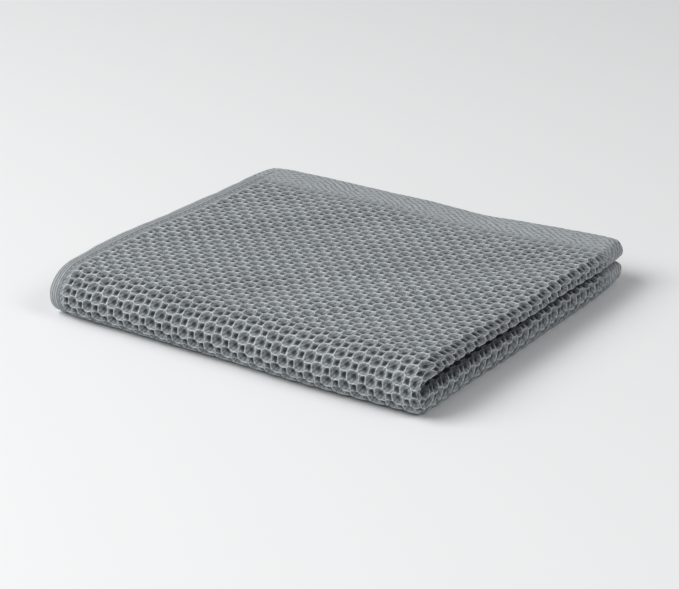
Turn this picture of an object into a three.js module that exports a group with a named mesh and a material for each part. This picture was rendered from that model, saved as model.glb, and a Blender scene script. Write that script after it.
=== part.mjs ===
// A nearly square waffle-weave dishcloth, folded in half and then in half again, lying flat.
// Millimetres, +Z up. The resting face is at Z = 0, and the origin is at the middle of it.
// The round front fold lies along X at -Y. The side where the first fold shows is at +X.
// The four hemmed edges of the cloth lie above each other at -X and at +Y.
import * as THREE from "three";
import { mergeVertices } from "three/addons/utils/BufferGeometryUtils.js";

// The cloth as it was cut and hemmed, laid out flat
const clothWidth = 305; // across the first fold
const clothLength = 280; // across the second fold
const sideHem = 5; // the two narrow hems, which end up at -X
const endHem = 13; // the two wide hems, which end up at +Y

// Through the cloth
const clothThickness = 3.2; // from ridge to ridge of the waffle
const hemThickness = 2.7; // three turns of plain weave, sewn down
const seamThickness = 2.2; // where the hem's row of stitches pulls it in
const rimThickness = 2.0; // at the hem's outer edge
const rimBulge = 0.7; // how far the turned edge rounds out

// The stack of four layers
const pairGap = 1.6; // air between an outer sheet and the inner one that it is folded over
const middleGap = 1.0; // air between the two inner sheets
const spineRadius = (clothThickness + pairGap) / 2; // first fold, at the middle of the cloth
const midRadius = (middleGap + pairGap) / 2 + clothThickness; // second fold, between its sheets
const stackHeight = 2 * (midRadius + spineRadius) + clothThickness;

// The slit between the two rolls of the first fold, from the front fold to the back
const frontLean = 0.2; // how far the tips of the rolls lean towards the slit at the front
const backLean = 1.2; // and towards the back, where they close it
const leanFrom = 0.1; // where the lean starts to grow, as a share of half the cloth's length
const leanTo = 0.65; // where it stops growing
const slitRise = 0.6; // how far the slit lies above the middle of the pile
const slitBow = 0.9; // how much higher it lies half-way along
const frontPinch = 0.7; // how much of the layers' spread the front fold presses out at the slit
const pinchReach = 25; // over this width from the first fold

// Grid: how finely the sheet is divided
const spineSteps = 12;
const frontSteps = 14;
const panelSteps = 9; // between a fold and a hem
const hemRound = 1.5; // over this width the hem rounds off at its edge and at its stitches
const hemMiddle = 2.5; // a grid line in the flat of the hem, from its edge
const seamReach = 2; // from the stitches to the full height of the waffle

// How full the folded cloth stands at its corners, as a share of stackHeight
const cornerFullness = [
  { corner: "folded front right", x: 1, y: -1, share: 1.17 },
  { corner: "front left", x: -1, y: -1, share: 1.03 },
  { corner: "back right", x: 1, y: 1, share: 1.05 },
  { corner: "loose back left", x: -1, y: 1, share: 0.8 },
];

// How the top sinks towards the four thin wide hems at the back
const backSag = 2.2;
const sagReach = 100;
const sagHeld = 0.5; // the share of it that the pile's corners hold up

// Where the loose edges of each sheet end, measured from the outer sheet's own edges
const sheets = [
  { sheet: "outer", leftInset: 0, backReach: 0 },
  { sheet: "inner", leftInset: 2.6, backReach: 2.2 },
];

// Broad soft swells of the top, as heights in millimetres and wave lengths along X and Y
const swells = [
  { height: 0.3, lengthX: 97, lengthY: 131, phase: 0.6 },
  { height: 0.22, lengthX: 58, lengthY: -74, phase: 2.1 },
  { height: 0.12, lengthX: -37, lengthY: 45, phase: 4.0 },
];

// Slow wander of the folds and edges in plan, the same for all layers
const wanders = [
  { shift: 0.35, length: 118, phase: 0.9 },
  { shift: 0.15, length: 52, phase: 2.7 },
];
const wanderOffset = 40; // sets the wander along X apart from the one along Y

// How far the corners draw in, seen from above, and over what reach
const cornerDraws = [
  { corner: "folded front right", x: 1, y: -1, draw: 0.8, reach: 14 },
  { corner: "front left", x: -1, y: -1, draw: 1.2, reach: 12 },
  { corner: "back right", x: 1, y: 1, draw: 0.8, reach: 7 },
  { corner: "loose back left", x: -1, y: 1, draw: 1.4, reach: 6 },
];

const halfWidth = clothWidth / 2;
const halfLength = clothLength / 2;
const spineArc = (Math.PI / 2) * spineRadius;
const outerRadius = midRadius + spineRadius;
const outerArc = (Math.PI / 2) * outerRadius;
const foldedWidth = halfWidth - spineArc + spineRadius + clothThickness / 2;
const foldedDepth = halfLength - outerArc + outerRadius + clothThickness / 2;

// Straight-line reading of a table whose rows have a place and a value
function readTable(rows, at) {
  const last = rows.length - 1;
  if (at <= rows[0].at) {
    return rows[0].value;
  }
  for (let i = 1; i <= last; i++) {
    if (at <= rows[i].at) {
      const share = (at - rows[i - 1].at) / (rows[i].at - rows[i - 1].at);
      return THREE.MathUtils.lerp(rows[i - 1].value, rows[i].value, share);
    }
  }
  return rows[last].value;
}

// Thickness of the cloth at a distance from one of its edges
function thicknessFromEdge(distance, hem) {
  const profile = [
    { at: 0, value: rimThickness },
    { at: hemRound, value: hemThickness },
    { at: hem - hemRound, value: hemThickness },
    { at: hem, value: seamThickness },
    { at: hem + seamReach, value: clothThickness },
  ];
  return readTable(profile, distance);
}

function thicknessAt(across, along) {
  const fromSide = thicknessFromEdge(halfWidth - Math.abs(across), sideHem);
  const fromEnd = thicknessFromEdge(halfLength - Math.abs(along), endHem);
  return Math.min(fromSide, fromEnd);
}

// Places of the grid lines from the edge of a fold to the loose edge, with lines at the hem
function panelLines(foldEnd, edge, hem) {
  const inside = edge - hem - seamReach;
  const lines = [];
  for (let i = 1; i <= panelSteps; i++) {
    lines.push(THREE.MathUtils.lerp(foldEnd, inside, i / panelSteps));
  }
  return [...lines, edge - hem, edge - hem + hemRound, edge - hemMiddle, edge - hemRound, edge];
}

// Grid lines over the whole sheet, from one loose edge through the fold to the other
function sheetLines(foldEnd, foldSteps, edge, hem) {
  const outward = panelLines(foldEnd, edge, hem);
  const fold = [];
  for (let i = 0; i <= foldSteps; i++) {
    fold.push(THREE.MathUtils.lerp(-foldEnd, foldEnd, i / foldSteps));
  }
  const mirrored = outward.map((place) => -place).reverse();
  return [...mirrored, ...fold, ...outward];
}

// How far the tip of the first fold leans at a place along the sheet
function leanAt(along) {
  const share = THREE.MathUtils.smoothstep(Math.abs(along) / halfLength, leanFrom, leanTo);
  return THREE.MathUtils.lerp(frontLean, backLean, share);
}

// The first fold: where a place across the sheet ends up, in from the spine and off the middle
function spineSection(across, tipLean) {
  const past = Math.abs(across) - spineArc;
  const side = across < 0 ? 1 : -1;
  if (past > 0) {
    return { inward: -past, off: side * spineRadius, outX: 0, outOff: side };
  }
  const angle = -across / spineRadius;
  const cosine = Math.cos(angle);
  const sine = Math.sin(angle);
  const slant = 1 + (2 * tipLean * sine) / spineRadius;
  const out = new THREE.Vector2(slant * cosine, sine).normalize();
  return {
    inward: spineRadius * cosine,
    off: spineRadius * sine - tipLean * cosine ** 2,
    outX: out.x,
    outOff: out.y,
  };
}

// How much of the inner sheet's placing applies: 0 on the outer sheet, 1 well inside
function innerShare(across) {
  return THREE.MathUtils.smoothstep(across, 0, halfWidth / 2);
}

function waveSum(rows, value) {
  return rows.reduce((sum, row) => sum + value(row), 0);
}

function swellAt(x, y) {
  const turn = 2 * Math.PI;
  return waveSum(swells, (row) => {
    return row.height * Math.sin(turn * (x / row.lengthX + y / row.lengthY) + row.phase);
  });
}

function wanderAt(place) {
  const turn = 2 * Math.PI;
  return waveSum(wanders, (row) => {
    return row.shift * Math.sin((turn * place) / row.length + row.phase);
  });
}

// Height of the pile at a place in plan, as a share of stackHeight
function fullnessAt(x, y) {
  const alongX = THREE.MathUtils.clamp((2 * x) / foldedWidth, -1, 1);
  const alongY = THREE.MathUtils.clamp((2 * y) / foldedDepth, -1, 1);
  const corners = waveSum(cornerFullness, (row) => {
    return (row.share * (1 + row.x * alongX) * (1 + row.y * alongY)) / 4;
  });
  const nearBack = THREE.MathUtils.smoothstep(y, foldedDepth / 2 - sagReach, foldedDepth / 2);
  const sag = backSag * (1 - sagHeld * alongX ** 2) * nearBack;
  return corners + (swellAt(x, y) - sag) / stackHeight;
}

// How far a place near a corner is drawn in along X and along Y
function cornerDrawAt(x, y) {
  const draw = new THREE.Vector2();
  for (const row of cornerDraws) {
    const fromX = foldedWidth / 2 - row.x * x;
    const fromY = foldedDepth / 2 - row.y * y;
    const share = Math.exp(-(fromX ** 2 + fromY ** 2) / row.reach ** 2);
    draw.x -= row.x * row.draw * share;
    draw.y -= row.y * row.draw * share;
  }
  return draw;
}

// Radius of the second fold at a place across the sheet
function frontRadiusAt(across) {
  return midRadius + spineSection(across, frontLean).off;
}

// How far the slit's rise lifts a place, at a share of the pile's height
function slitRiseAt(x, along, share) {
  const most = slitRise + slitBow * Math.sin((Math.PI * Math.abs(along)) / halfLength);
  return 4 * most * share * (1 - share) * THREE.MathUtils.smoothstep(x, 0, foldedWidth / 2);
}

// A place on the flat cloth, and a height through it, to its place in the folded cloth
function foldedPlace(across, along, through) {
  const [outer, inner] = sheets;
  const share = innerShare(across);
  const spine = spineSection(across, leanAt(along));
  const leftInset = THREE.MathUtils.lerp(outer.leftInset, inner.leftInset, share);
  const backReach = THREE.MathUtils.lerp(outer.backReach, inner.backReach, share);
  const shorter = spine.inward < 0 ? 1 - leftInset / (halfWidth - spineArc) : 1;
  const spineMiddle = foldedWidth / 2 - spineRadius - clothThickness / 2;
  const x = spineMiddle + spine.inward * shorter + through * spine.outX;

  const radius = frontRadiusAt(across);
  const arc = (Math.PI / 2) * radius;
  const offset = midRadius + spine.off + through * spine.outOff;
  const frontReach = outerRadius + clothThickness / 2;
  const past = Math.abs(along) - arc;
  const outerPanel = halfLength - outerArc;
  let y = frontReach - foldedDepth / 2;
  let z = stackHeight / 2;
  if (past > 0) {
    y += (past * (outerPanel + backReach)) / (halfLength - arc);
    z += Math.sign(along) * offset;
  } else {
    const angle = along / radius;
    const nearSpine = THREE.MathUtils.smoothstep(x, foldedWidth / 2 - pinchReach, foldedWidth / 2);
    y -= THREE.MathUtils.lerp(offset, frontReach, frontPinch * nearSpine) * Math.cos(angle);
    z += offset * Math.sin(angle);
  }
  z += slitRiseAt(x, along, z / stackHeight);

  const draw = cornerDrawAt(x, y);
  const drawnX = x + wanderAt(y) + draw.x;
  const drawnY = y + wanderAt(x + wanderOffset) + draw.y;
  return new THREE.Vector3(drawnX, drawnY, z * fullnessAt(x, y));
}

// The cloth: a flat slab with a grid on its faces, each of whose points is carried into the folds
function foldedClothGeometry() {
  const acrossLines = sheetLines(spineArc, spineSteps, halfWidth, sideHem);
  const acrossSteps = acrossLines.length - 1;
  const alongSteps = sheetLines(outerArc, frontSteps, halfLength, endHem).length - 1;
  const flat = new THREE.BoxGeometry(2, 2, 2, acrossSteps, alongSteps, 2);
  flat.deleteAttribute("normal");
  flat.deleteAttribute("uv");
  const places = flat.getAttribute("position");
  for (let i = 0; i < places.count; i++) {
    const column = Math.round(((places.getX(i) + 1) / 2) * acrossSteps);
    const row = Math.round(((places.getY(i) + 1) / 2) * alongSteps);
    const across = acrossLines[column];
    const arc = (Math.PI / 2) * frontRadiusAt(across);
    const along = sheetLines(arc, frontSteps, halfLength, endHem)[row];
    const through = (places.getZ(i) * thicknessAt(across, along)) / 2;
    const bulge = places.getZ(i) === 0 ? rimBulge : 0;
    const rimAcross = Math.abs(across) === halfWidth ? Math.sign(across) * bulge : 0;
    const rimAlong = Math.abs(along) === halfLength ? Math.sign(along) * bulge : 0;
    const folded = foldedPlace(across + rimAcross, along + rimAlong, through);
    places.setXYZ(i, folded.x, folded.y, folded.z);
  }
  return flat;
}

// Sets the middle of the resting face at the origin, whatever the soft edges add
function centreOnRestingFace(geometry) {
  geometry.computeBoundingBox();
  const { min, max } = geometry.boundingBox;
  geometry.translate(-(min.x + max.x) / 2, -(min.y + max.y) / 2, -min.z);
  return geometry;
}

const cotton = new THREE.MeshStandardMaterial({
  name: "grey cotton",
  color: new THREE.Color(0.27, 0.29, 0.3),
  roughness: 0.95,
  metalness: 0,
});

const cloth = new THREE.Mesh(mergeVertices(centreOnRestingFace(foldedClothGeometry())), cotton);
cloth.name = "cloth";

const dishcloth = new THREE.Group();
dishcloth.add(cloth);

export default dishcloth;
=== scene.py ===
"""A waffle-weave dishcloth, folded in half and then in half again, dressed for its renders.

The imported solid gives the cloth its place. The same folds carry a finer sheet here, on which the
cells of the waffle, the hems and their rims are modelled. The sewing thread is a piece of its own.
Metres, +Z up, with the resting face at Z = 0.
"""

import logging
import math
from collections.abc import Callable
from dataclasses import dataclass, field
from enum import Enum

import bmesh
import bpy
import numpy as np
from mathutils import Matrix, Vector


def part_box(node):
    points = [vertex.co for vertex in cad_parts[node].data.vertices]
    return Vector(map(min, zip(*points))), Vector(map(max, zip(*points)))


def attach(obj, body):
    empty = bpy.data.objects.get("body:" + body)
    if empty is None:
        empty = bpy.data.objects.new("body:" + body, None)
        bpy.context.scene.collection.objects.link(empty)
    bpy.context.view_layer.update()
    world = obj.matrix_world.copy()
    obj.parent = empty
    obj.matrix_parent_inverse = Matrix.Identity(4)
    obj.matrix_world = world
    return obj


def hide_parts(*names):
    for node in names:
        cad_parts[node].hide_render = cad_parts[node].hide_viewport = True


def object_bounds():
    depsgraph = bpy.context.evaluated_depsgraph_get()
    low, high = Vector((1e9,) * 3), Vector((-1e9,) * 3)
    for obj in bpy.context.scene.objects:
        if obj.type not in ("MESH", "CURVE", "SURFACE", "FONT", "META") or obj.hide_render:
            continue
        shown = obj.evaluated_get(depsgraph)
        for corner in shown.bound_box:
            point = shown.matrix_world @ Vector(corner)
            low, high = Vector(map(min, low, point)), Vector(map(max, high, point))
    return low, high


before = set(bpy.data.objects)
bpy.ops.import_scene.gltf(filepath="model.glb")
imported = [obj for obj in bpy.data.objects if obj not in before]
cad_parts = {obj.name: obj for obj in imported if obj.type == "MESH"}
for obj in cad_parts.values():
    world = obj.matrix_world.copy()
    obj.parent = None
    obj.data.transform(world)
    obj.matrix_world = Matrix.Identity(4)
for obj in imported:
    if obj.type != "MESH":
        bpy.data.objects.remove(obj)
cad_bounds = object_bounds()

MM = 0.001
BODY = "root"
CLOTH_NODE = "cloth"
WEAVE_MAP = "Weave"
BAKE_MAP = "OFBake"
UNIT_RADIUS = 0.5
CELL_LINES = 4
NOISE_SPREAD = (0.3, 0.7)

log = logging.getLogger("dishcloth")


class Face(Enum):
    """The two faces of the cloth, by the side of its middle on which they lie."""

    OUTER = 1
    INNER = -1


class Socket(Enum):
    """The kinds of socket that an effect's node group has."""

    VALUE = "NodeSocketFloat"
    VECTOR = "NodeSocketVector"


def smoothstep(value: np.ndarray, low: float, high: float) -> np.ndarray:
    """Eases from 0 at low to 1 at high.

    Args:
        value: Values to ease.
        low: Where the ease starts.
        high: Where it ends.

    Returns:
        The eased share of each value.
    """
    share = np.clip((value - low) / (high - low), 0, 1)
    return share * share * (3 - 2 * share)


def soft_noise(seed: int, x: np.ndarray, y: np.ndarray) -> np.ndarray:
    """Smooth noise over a plane, with one hill or hollow about every unit.

    Args:
        seed: Which noise it is.
        x: First place of each point, in units of the noise.
        y: Second place of each point.

    Returns:
        Values from -1 to 1.
    """
    size = 64
    knots = np.random.default_rng(seed).uniform(-1, 1, (size, size))
    column, row = np.floor(x).astype(int), np.floor(y).astype(int)
    right, up = smoothstep(x - column, 0, 1), smoothstep(y - row, 0, 1)
    low = knots[column % size, row % size] * (1 - right)
    low += knots[(column + 1) % size, row % size] * right
    high = knots[column % size, (row + 1) % size] * (1 - right)
    high += knots[(column + 1) % size, (row + 1) % size] * right
    return low * (1 - up) + high * up


def finished_mesh(name: str, shape: bmesh.types.BMesh) -> bpy.types.Mesh:
    """Turns a shape into a mesh and lets go of the shape.

    Args:
        name: The mesh's name.
        shape: The finished shape.

    Returns:
        The mesh.
    """
    mesh = bpy.data.meshes.new(name)
    shape.to_mesh(mesh)
    shape.free()
    return mesh


def mesh_points(mesh: bpy.types.Mesh) -> np.ndarray:
    """Reads the points of a mesh.

    Args:
        mesh: The mesh.

    Returns:
        One row of X, Y and Z for each point.
    """
    flat = np.zeros(len(mesh.vertices) * 3, np.float32)
    mesh.vertices.foreach_get("co", flat)
    return flat.reshape(-1, 3).astype(float)


def move_points(mesh: bpy.types.Mesh, points: np.ndarray) -> None:
    """Moves the points of a mesh, with one row of X, Y and Z for each."""
    mesh.vertices.foreach_set("co", points.astype(np.float32).ravel())


def in_scene(mesh: bpy.types.Mesh) -> bpy.types.Object:
    """Puts a mesh in the scene.

    Args:
        mesh: The mesh.

    Returns:
        Its object, which has the mesh's name.
    """
    placed = bpy.data.objects.new(mesh.name, mesh)
    bpy.context.scene.collection.objects.link(placed)
    return placed


@dataclass(frozen=True)
class Corner:
    """One corner of the folded pile.

    x and y say on which side it lies, fullness is how high the pile stands there as a share of its
    height, and draw is how far the corner is drawn in over its reach, seen from above.
    """

    x: int
    y: int
    fullness: float
    draw: float
    reach: float


@dataclass(frozen=True)
class Swell:
    """A broad soft wave of the top, by its height, its wave lengths along X and Y, and its phase."""

    height: float
    length_x: float
    length_y: float
    phase: float

    def over(self, x: np.ndarray, y: np.ndarray) -> np.ndarray:
        """The wave's height over each place in plan."""
        turns = x / self.length_x + y / self.length_y
        return self.height * np.sin(2 * math.pi * turns + self.phase)


@dataclass(frozen=True)
class Ripple:
    """A soft noise over the cloth, by its strength, the size of one hill and which noise it is."""

    strength: float
    size: float
    seed: int

    def over(self, x: np.ndarray, y: np.ndarray, seed_step: int = 0) -> np.ndarray:
        """Its height at each place, and with a step to another seed that of another such noise."""
        return self.strength * soft_noise(self.seed + seed_step, x / self.size, y / self.size)


@dataclass(frozen=True)
class Wander:
    """A slow sideways wander of the folds and edges, the same for all layers.

    It has the shift to each side, the length of one wave and the phase at its start.
    """

    shift: float
    length: float
    phase: float

    def over(self, place: np.ndarray) -> np.ndarray:
        """The shift at each place along the fold or edge."""
        return self.shift * np.sin(2 * math.pi * place / self.length + self.phase)


@dataclass(frozen=True)
class FoldedForm:
    """The folds of the cloth: carries a place on the flat cloth to its place in the pile.

    A place is given across the first fold, along the cloth over the second fold, and through it.
    The first fold lies at across = 0, and ends up at +X. The second lies at along = 0, at -Y.
    The outer face is longer than the middle of the cloth, because it goes round the folds outside.
    """

    width: float = 305 * MM
    length: float = 280 * MM
    thickness: float = 3.2 * MM
    pair_gap: float = 1.6 * MM
    middle_gap: float = 1.0 * MM
    front_lean: float = 0.2 * MM
    back_lean: float = 1.2 * MM
    lean_between: tuple[float, float] = (0.1, 0.65)
    slit_rise: float = 0.6 * MM
    slit_bow: float = 0.9 * MM
    front_squash: float = 0.7
    squash_reach: float = 25 * MM
    front_roll: float = 6.0 * MM
    back_sag: float = 2.2 * MM
    sag_reach: float = 100 * MM
    sag_held: float = 0.5
    inner_left_inset: float = 2.6 * MM
    inner_back_reach: float = 2.2 * MM
    wander_offset: float = 40 * MM
    corners: tuple[Corner, ...] = (
        Corner(1, -1, 1.17, 0.8 * MM, 14 * MM),
        Corner(-1, -1, 1.03, 1.2 * MM, 12 * MM),
        Corner(1, 1, 1.05, 0.8 * MM, 7 * MM),
        Corner(-1, 1, 0.8, 1.4 * MM, 6 * MM),
    )
    swells: tuple[Swell, ...] = (
        Swell(0.3 * MM, 97 * MM, 131 * MM, 0.6),
        Swell(0.22 * MM, 58 * MM, -74 * MM, 2.1),
        Swell(0.12 * MM, -37 * MM, 45 * MM, 4.0),
    )
    wanders: tuple[Wander, ...] = (
        Wander(0.35 * MM, 118 * MM, 0.9),
        Wander(0.15 * MM, 52 * MM, 2.7),
    )

    @property
    def half_width(self) -> float:
        """From the first fold to the side edge, on the flat cloth."""
        return self.width / 2

    @property
    def half_length(self) -> float:
        """From the second fold to the end edge, on the flat cloth."""
        return self.length / 2

    @property
    def spine_radius(self) -> float:
        """Radius of the first fold at the middle of the cloth."""
        return (self.thickness + self.pair_gap) / 2

    @property
    def spine_arc(self) -> float:
        """Cloth taken up by half of the first fold."""
        return math.pi / 2 * self.spine_radius

    @property
    def mid_radius(self) -> float:
        """Radius of the second fold between its two sheets."""
        return (self.middle_gap + self.pair_gap) / 2 + self.thickness

    @property
    def outer_radius(self) -> float:
        """Radius of the second fold at the middle of its outer sheet."""
        return self.mid_radius + self.spine_radius

    @property
    def outer_arc(self) -> float:
        """Cloth taken up by half of the second fold in its outer sheet."""
        return math.pi / 2 * self.outer_radius

    @property
    def face_gain(self) -> float:
        """How much longer the outer face is than the middle of the cloth, over half of a fold."""
        return math.pi / 2 * self.thickness / 2

    @property
    def face_half_width(self) -> float:
        """From the first fold to the side edge, on the outer face."""
        return self.half_width + self.face_gain

    @property
    def face_half_length(self) -> float:
        """From the second fold to the end edge, on the outer face."""
        return self.half_length + self.face_gain

    def middle_place(self, place: np.ndarray, arc: float) -> np.ndarray:
        """Place on the middle of the cloth under a place that is measured on the outer face.

        Args:
            place: Places across or along the cloth, measured from the fold over its outer face.
            arc: The cloth's middle taken up by half of that fold.

        Returns:
            The places measured over the middle of the cloth.
        """
        stretch = 1 + self.face_gain / arc
        over = np.clip(place, -arc * stretch, arc * stretch)
        return over / stretch + place - over

    @property
    def stack_height(self) -> float:
        """Height of the four layers before the pile's fullness is applied."""
        return 2 * self.outer_radius + self.thickness

    @property
    def folded_width(self) -> float:
        """Width of the folded cloth along X."""
        return self.half_width - self.spine_arc + self.spine_radius + self.thickness / 2

    @property
    def folded_depth(self) -> float:
        """Depth of the folded cloth along Y."""
        return self.half_length - self.outer_arc + self.outer_radius + self.thickness / 2

    def fullness(self, x: np.ndarray, y: np.ndarray) -> np.ndarray:
        """Height of the pile over each place in plan, as a share of its height.

        Args:
            x: Places along X.
            y: Places along Y.

        Returns:
            The share by which heights are multiplied.
        """
        along_x = np.clip(2 * x / self.folded_width, -1, 1)
        along_y = np.clip(2 * y / self.folded_depth, -1, 1)
        share = sum(c.fullness * (1 + c.x * along_x) * (1 + c.y * along_y) for c in self.corners) / 4
        waves = sum(swell.over(x, y) for swell in self.swells)
        sag = self.back_sag * (1 - self.sag_held * along_x**2)
        sag = sag * smoothstep(y, self.folded_depth / 2 - self.sag_reach, self.folded_depth / 2)
        return share + (waves - sag) / self.stack_height

    def wander(self, place: np.ndarray) -> np.ndarray:
        """Sideways shift of the folds and edges at each place along them."""
        return sum(wander.over(place) for wander in self.wanders)

    def corner_draw(self, x: np.ndarray, y: np.ndarray) -> tuple[np.ndarray, np.ndarray]:
        """Shift of each place towards the middle near a drawn-in corner.

        Args:
            x: Places along X.
            y: Places along Y.

        Returns:
            The shifts along X and along Y.
        """
        shift_x, shift_y = np.zeros_like(x), np.zeros_like(y)
        for corner in self.corners:
            from_x = self.folded_width / 2 - corner.x * x
            from_y = self.folded_depth / 2 - corner.y * y
            share = np.exp(-(from_x**2 + from_y**2) / corner.reach**2)
            shift_x -= corner.x * corner.draw * share
            shift_y -= corner.y * corner.draw * share
        return shift_x, shift_y

    def tip_lean(self, along: np.ndarray) -> np.ndarray:
        """How far the tip of the first fold leans towards the middle gap at each place along it."""
        share = smoothstep(np.abs(along) / self.half_length, *self.lean_between)
        return self.front_lean + (self.back_lean - self.front_lean) * share

    def place(self, across: np.ndarray, along: np.ndarray, through: np.ndarray) -> np.ndarray:
        """Carries places on the flat cloth into the folds.

        Args:
            across: Places across the first fold, from -half_width to half_width.
            along: Places over the second fold, from -half_length to half_length.
            through: Heights off the middle of the cloth, towards its outer face.

        Returns:
            One row of X, Y and Z for each place.
        """
        inner = smoothstep(across, 0, self.half_width / 2)
        x, offset, radius = self._fold_first(across, self.tip_lean(along), through, inner)
        y, z = self._fold_second(x, along, offset, radius, inner)
        level = z / self.stack_height
        rise = self.slit_rise + self.slit_bow * np.sin(math.pi * np.abs(along) / self.half_length)
        z = z + 4 * rise * level * (1 - level) * smoothstep(x, 0, self.folded_width / 2)

        draw_x, draw_y = self.corner_draw(x, y)
        height = z * self.fullness(x, y)
        drawn_x = x + self.wander(y) + draw_x
        drawn_y = y + self.wander(x + self.wander_offset) + draw_y
        return np.column_stack((drawn_x, drawn_y, height))

    def _fold_first(
        self, across: np.ndarray, lean: np.ndarray, through: np.ndarray, inner: np.ndarray
    ) -> tuple[np.ndarray, np.ndarray, np.ndarray]:
        """Folds the cloth in half, round the spine that ends up at +X.

        Args:
            across: Places across the first fold.
            lean: How far the tip of the fold leans towards the middle gap.
            through: Heights off the middle of the cloth, towards its outer face.
            inner: From 0 on the outer half of the cloth to 1 on its inner half.

        Returns:
            X, the height off the middle gap, and that height at the middle of the cloth, which is the
            radius on which the second fold carries it.
        """
        angle = np.clip(-across / self.spine_radius, -math.pi / 2, math.pi / 2)
        cosine, sine = np.cos(angle), np.sin(angle)
        slant = 1 + 2 * lean * sine / self.spine_radius
        normal = np.hypot(slant * cosine, sine)
        out_x, out_off = slant * cosine / normal, sine / normal
        inward = self.spine_radius * cosine - np.maximum(np.abs(across) - self.spine_arc, 0)
        off = self.spine_radius * sine - lean * cosine**2
        shorter = 1 - inner * self.inner_left_inset / (self.half_width - self.spine_arc)
        inward *= np.where(inward < 0, shorter, 1)
        x = self.folded_width / 2 - self.spine_radius - self.thickness / 2 + inward + through * out_x
        radius = self.mid_radius + self.spine_radius * sine - self.front_lean * cosine**2
        return x, self.mid_radius + off + through * out_off, radius

    def _fold_second(
        self,
        x: np.ndarray,
        along: np.ndarray,
        offset: np.ndarray,
        radius: np.ndarray,
        inner: np.ndarray,
    ) -> tuple[np.ndarray, np.ndarray]:
        """Folds the doubled cloth in half again, round the front that ends up at -Y.

        Args:
            x: X of each place after the first fold.
            along: Places over the second fold.
            offset: Heights off the middle gap.
            radius: The same heights at the middle of the cloth.
            inner: From 0 on the outer half of the cloth to 1 on its inner half.

        Returns:
            Y, and the height above the resting face.
        """
        roll = np.where(along > 0, self.front_roll, 0)
        arc = math.pi / 2 * np.hypot(radius, radius + roll) / math.sqrt(2)
        past = np.abs(along) - arc
        panel = self.half_length - self.outer_arc + inner * self.inner_back_reach - roll
        turned = np.clip(along / arc, -1, 1)
        bend = turned * (arc / radius + (math.pi / 2 - arc / radius) * np.abs(turned))
        front_reach = self.outer_radius + self.thickness / 2
        near_spine = smoothstep(x, self.folded_width / 2 - self.squash_reach, self.folded_width / 2)
        squash = self.front_squash * near_spine
        reach = offset + (front_reach - offset) * squash
        y = front_reach - self.folded_depth / 2
        flat_y = roll + past * panel / (self.half_length - arc)
        y = y + np.where(past > 0, flat_y, roll - (reach + roll) * np.cos(bend))
        return y, self.stack_height / 2 + offset * np.sin(bend)


@dataclass(frozen=True)
class Hem:
    """One kind of hem: the cloth turned under twice and sewn down.

    Distances are measured from the hem's edge inwards, and the rim bulges past that edge.
    """

    width: float
    flat_steps: int
    thickness: float = 2.7 * MM
    seam_thickness: float = 2.2 * MM
    rounding: float = 1.5 * MM
    bulge: float = 0.7 * MM
    round_steps: int = 8
    seam_reach: float = 2.0 * MM
    crease_at: float = 1.25 * MM
    crease_width: float = 0.35 * MM
    crease_depth: float = 0.28 * MM

    @property
    def steps(self) -> int:
        """Fine steps of the lattice over the hem."""
        return self.flat_steps + self.round_steps

    def distances(self) -> np.ndarray:
        """Places the fine lattice lines of the hem.

        Returns:
            Their distances inwards from the hem's edge, from the rim to the seam.
        """
        turns = np.linspace(math.pi / 2, 0, self.round_steps + 1)
        rim = self.rounding - (self.rounding + self.bulge) * np.sin(turns)
        flat = np.linspace(self.rounding, self.width, self.flat_steps + 1)
        return np.concatenate((rim, flat[1:]))

    def thickness_at(self, distance: np.ndarray, cloth_thickness: float) -> np.ndarray:
        """Thickness of the cloth at each distance from the edge.

        Args:
            distance: Distances inwards from the hem's edge.
            cloth_thickness: Thickness of the cloth inside the hem.

        Returns:
            The thicknesses, which come to nothing at the outermost line of the rim.
        """
        turn = np.clip((self.rounding - distance) / (self.rounding + self.bulge), 0, 1)
        rim = self.thickness * np.sqrt(1 - turn**2)
        into_seam = smoothstep(distance, self.width - self.rounding, self.width)
        out_of_seam = smoothstep(distance, self.width, self.width + self.seam_reach)
        seam = self.thickness + (self.seam_thickness - self.thickness) * into_seam
        seam += (cloth_thickness - self.seam_thickness) * out_of_seam
        return np.where(distance < self.rounding, rim, seam)

    def crease(self, distance: np.ndarray) -> np.ndarray:
        """Depth of the pressed line that runs beside the rim, at each distance from the edge."""
        return self.crease_depth * np.exp(-(((distance - self.crease_at) / self.crease_width) ** 2))


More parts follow.
